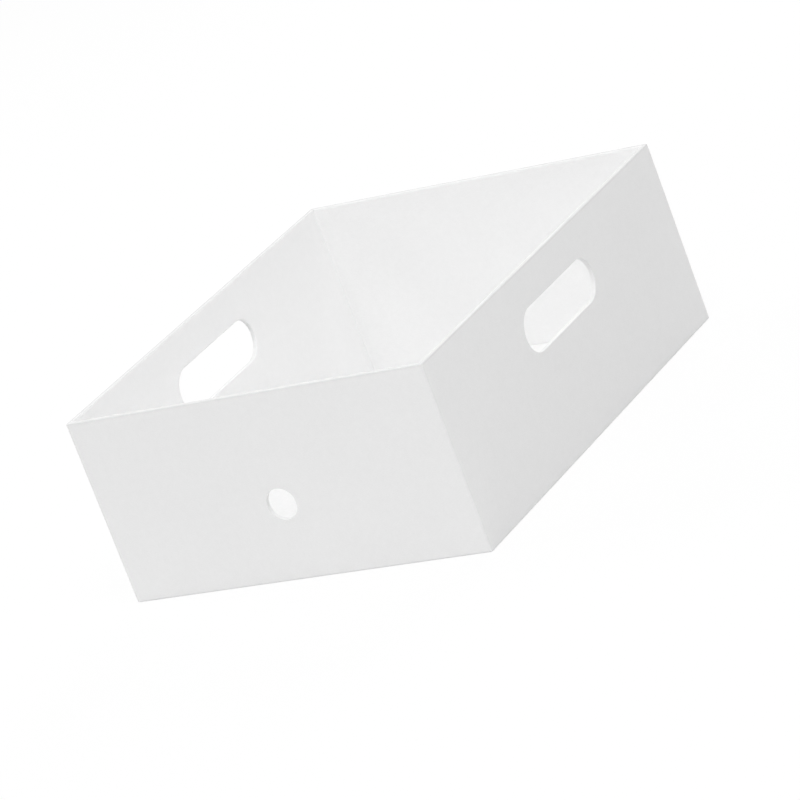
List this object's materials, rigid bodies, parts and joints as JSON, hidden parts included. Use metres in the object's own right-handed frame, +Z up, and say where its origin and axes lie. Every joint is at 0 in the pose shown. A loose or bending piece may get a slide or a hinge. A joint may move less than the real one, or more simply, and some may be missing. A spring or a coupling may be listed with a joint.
{
  "type": "file storage box",
  "caption": "Open rectangular storage box of paper-covered rigid board for A4 files, with long hand slots in the side walls and a round finger hole in the front.",
  "frame": {"origin": "middle of the underside, on the surface that the box stands on", "axes": "+X to the right as seen from the front, +Y from the front wall with the finger hole to the back wall, +Z up"},
  "size_m": [0.252, 0.32, 0.12],
  "materials": {
    "board": "matte",
    "stay_paper": "matte",
    "cover_paper": "matte",
    "lining_paper": "matte",
    "underside_paper": "matte"
  },
  "bodies": {
    "root": {"base_board": "board", "front_board": "board", "right_board": "board", "back_board": "board", "left_board": "board", "corner_stay_front_left": "stay_paper", "corner_stay_front_right": "stay_paper", "corner_stay_back_left": "stay_paper", "corner_stay_back_right": "stay_paper", "outer_wrap": "cover_paper", "front_lining": "lining_paper", "right_lining": "lining_paper", "back_lining": "lining_paper", "left_lining": "lining_paper", "floor_lining": "lining_paper", "underside_infill": "underside_paper", "underside_sheet": "underside_paper"}
  },
  "joints": []
}
